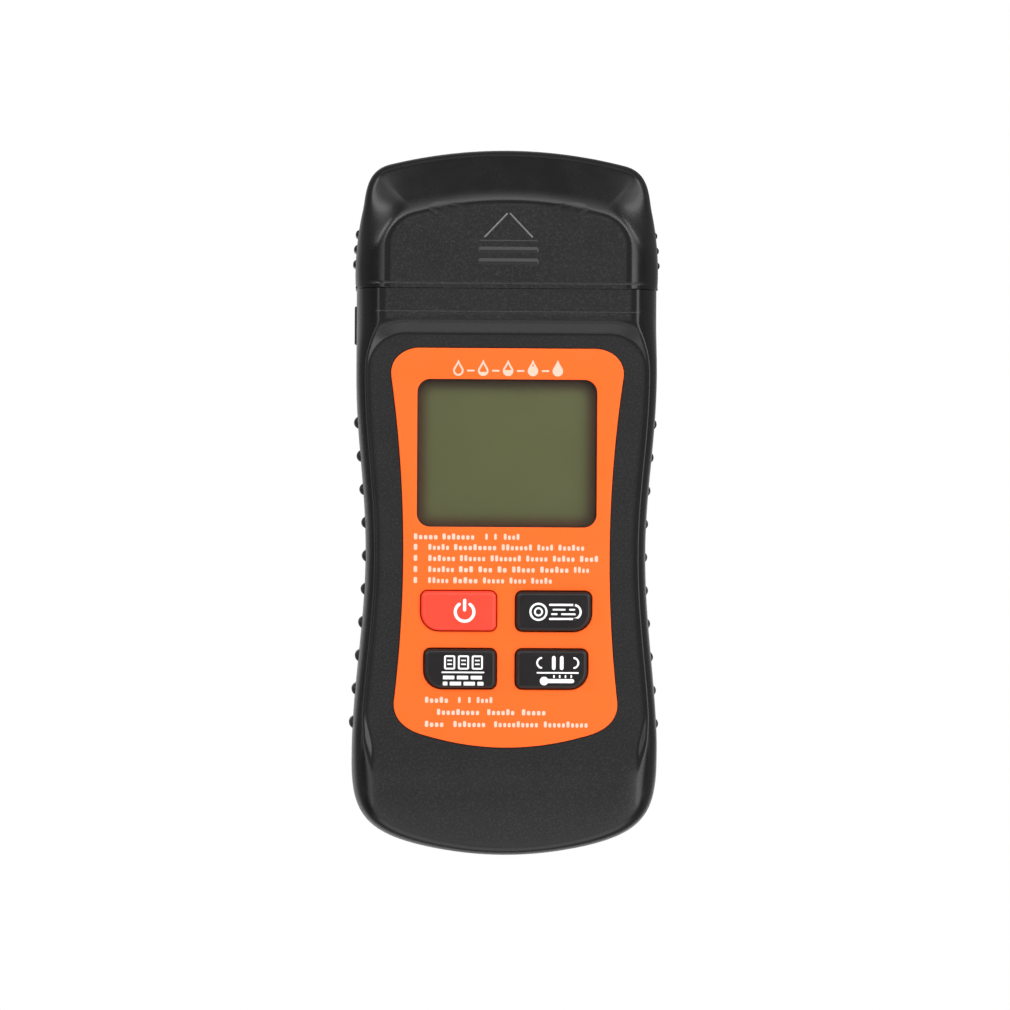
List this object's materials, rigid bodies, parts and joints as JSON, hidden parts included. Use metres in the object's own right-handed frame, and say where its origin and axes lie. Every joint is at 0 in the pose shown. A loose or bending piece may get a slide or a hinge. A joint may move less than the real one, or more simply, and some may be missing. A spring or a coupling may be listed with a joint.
{
  "type": "moisture meter",
  "caption": "Handheld two-pin moisture meter with a pull-off pin cap, display window, spring keys and a sliding battery door.",
  "frame": {"origin": "middle of the footprint, on the flat back that the meter lies on", "axes": "+Z out of the display, +Y along the case towards the test pins, +X to the right of the display"},
  "size_m": [0.0622, 0.141, 0.0269],
  "materials": {
    "housing": "finely spark-textured black ABS",
    "grip_rubber": "soft black overmould",
    "orange_plate": "satin orange ABS",
    "lens": "clear polished window",
    "screw_steel": "zinc plated",
    "red_key": "matt red silicone",
    "black_key": "matt black silicone",
    "switch_nylon": "moulded nylon",
    "chip_black": "moulded epoxy",
    "lcd_screen": "reflective display glass",
    "lcd_back": "grey-green reflector film",
    "white_plastic": "moulded white ABS",
    "elastomer": "striped silicone connector",
    "circuit_board": "solder mask on fibreglass",
    "tinned_metal": "tinned",
    "ceramic_parts": "ceramic",
    "pin_steel": "polished steel",
    "contact_brass": "plain brass",
    "cell_wrap": "printed sleeve",
    "red_wire": "PVC",
    "black_wire": "PVC"
  },
  "bodies": {
    "case": {"rear_housing": "housing", "front_housing": "housing", "left_grip": "grip_rubber", "right_grip": "grip_rubber", "faceplate": "orange_plate", "display_lens": "lens", "housing_screws": "screw_steel", "tact_switches": "chip_black", "lcd_glass": "lcd_screen", "lcd_reflector": "lcd_back", "lcd_holder": "white_plastic", "zebra_strips": "elastomer", "main_pcb": "circuit_board", "controller_chip": "chip_black", "amplifier_chip": "chip_black", "crystal": "tinned_metal", "smd_parts": "ceramic_parts", "buzzer": "chip_black", "temperature_sensor": "chip_black", "pcb_screws": "screw_steel", "left_pin": "pin_steel", "right_pin": "pin_steel", "pin_nuts": "pin_steel", "pin_sockets": "contact_brass", "socket_contacts": "contact_brass", "battery_cell_1": "cell_wrap", "battery_cell_2": "cell_wrap", "battery_cell_3": "cell_wrap", "battery_springs": "tinned_metal", "battery_plates": "tinned_metal", "battery_lead_red": "red_wire", "battery_lead_black": "black_wire"},
    "cap": {"pin_cap": "housing"},
    "door": {"battery_door": "housing"},
    "power_key": {"power_button": "red_key", "power_plunger": "switch_nylon"},
    "wood_key": {"wood_button": "black_key", "wood_plunger": "switch_nylon"},
    "paper_wall_key": {"paper_wall_button": "black_key", "paper_wall_plunger": "switch_nylon"},
    "hold_key": {"hold_button": "black_key", "hold_plunger": "switch_nylon"}
  },
  "joints": [
    {"name": "cap_slide", "type": "slide", "parent": "case", "child": "cap", "axis": [0, 1, 0], "range_m": [0, 0.06]},
    {"name": "door_slide", "type": "slide", "parent": "case", "child": "door", "axis": [0, -1, 0], "range_m": [0, 0.062]},
    {"name": "power_press", "type": "slide", "parent": "case", "child": "power_key", "axis": [0, 0, -1], "range_m": [0, 0.0005], "stiffness_N_per_m": 300, "springref_m": -0.001},
    {"name": "wood_press", "type": "slide", "parent": "case", "child": "wood_key", "axis": [0, 0, -1], "range_m": [0, 0.0005], "stiffness_N_per_m": 300, "springref_m": -0.001},
    {"name": "paper_wall_press", "type": "slide", "parent": "case", "child": "paper_wall_key", "axis": [0, 0, -1], "range_m": [0, 0.0005], "stiffness_N_per_m": 300, "springref_m": -0.001},
    {"name": "hold_press", "type": "slide", "parent": "case", "child": "hold_key", "axis": [0, 0, -1], "range_m": [0, 0.0005], "stiffness_N_per_m": 300, "springref_m": -0.001}
  ]
}
